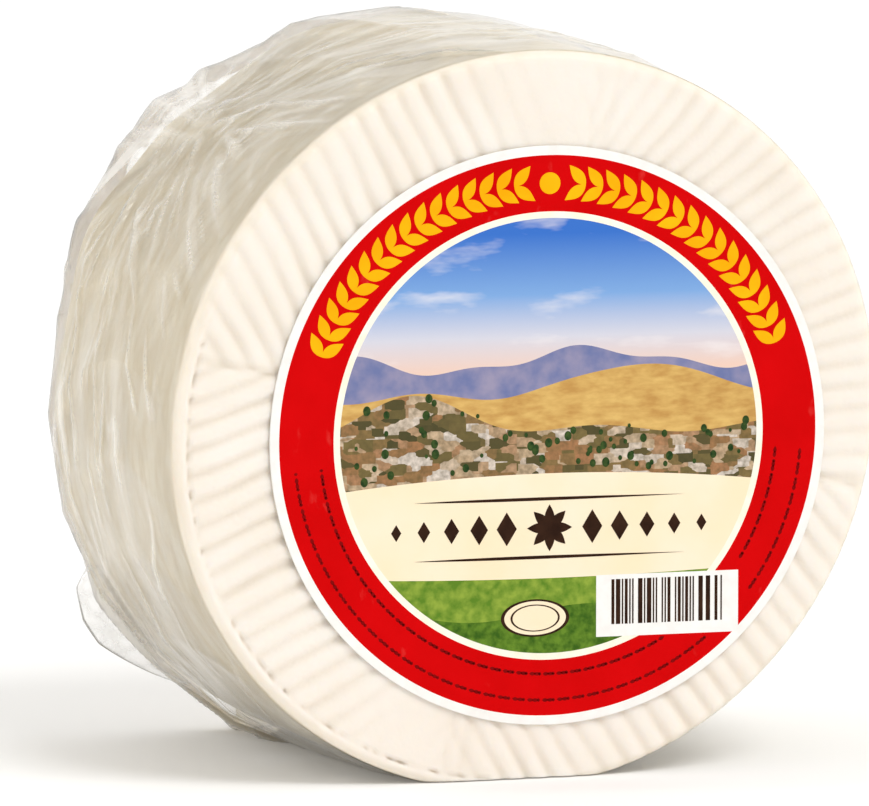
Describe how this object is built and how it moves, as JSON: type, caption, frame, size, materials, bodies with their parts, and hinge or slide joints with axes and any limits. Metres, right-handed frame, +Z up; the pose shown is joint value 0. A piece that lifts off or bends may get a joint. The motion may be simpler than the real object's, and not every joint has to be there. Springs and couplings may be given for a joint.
{
  "type": "wrapped goat cheese wheel",
  "caption": "Thick drum of tender white goat cheese standing on its edge in clear clinging film, with a ribbed face and a round paper label.",
  "frame": {"origin": "on the ground under the middle of the whole piece", "axes": "+Z up, Y along the drum's axis with the labelled face looking along -Y, +X to the right of someone who faces the label"},
  "size_m": [0.1612, 0.0948, 0.1573],
  "materials": {
    "cheese": "moist off-white cheese, soft and slightly see-through, under clinging film",
    "film": "clear glossy food film with fine creases",
    "label": "coated printed paper, satin"
  },
  "bodies": {
    "root": {"wrapped_cheese": "cheese", "label": "label"}
  },
  "joints": []
}
